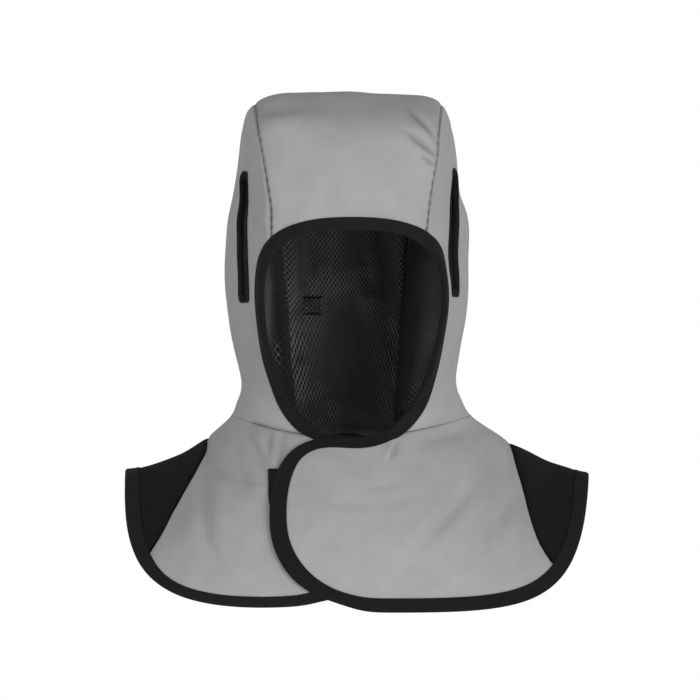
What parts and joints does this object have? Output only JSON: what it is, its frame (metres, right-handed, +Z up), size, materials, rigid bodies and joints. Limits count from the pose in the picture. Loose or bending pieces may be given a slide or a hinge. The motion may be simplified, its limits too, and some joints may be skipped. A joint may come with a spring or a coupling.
{
  "type": "welding balaclava",
  "caption": "Cloth hood with a face opening, mesh lining, ear slits and a wrap-over shoulder cape edged with tape, held in its worn form.",
  "frame": {"origin": "the point of the lining at the crown that bears on the top of the wearer's head", "axes": "+Z up, -Y out of the face opening, +X towards the right of somebody looking at the face opening"},
  "size_m": [0.4168, 0.3168, 0.4659],
  "materials": {
    "grey_cloth": "matt grey cotton twill",
    "black_cloth": "matt black knit",
    "mesh_lining": "black diamond mesh with a slight sheen",
    "black_tape": "black woven tape"
  },
  "bodies": {
    "root": {"hood_centre_panel": "grey_cloth", "hood_side_left": "grey_cloth", "hood_side_right": "grey_cloth", "lining_centre_panel": "mesh_lining", "lining_side_left": "mesh_lining", "lining_side_right": "mesh_lining", "lining_patch": "black_tape", "cape_over_flap": "grey_cloth", "cape_under_flap": "grey_cloth", "cape_back_yoke": "black_cloth", "closure_strip": "black_tape", "edge_binding": "black_tape", "ear_slit_binding_left": "black_tape", "ear_slit_binding_right": "black_tape"}
  },
  "joints": []
}
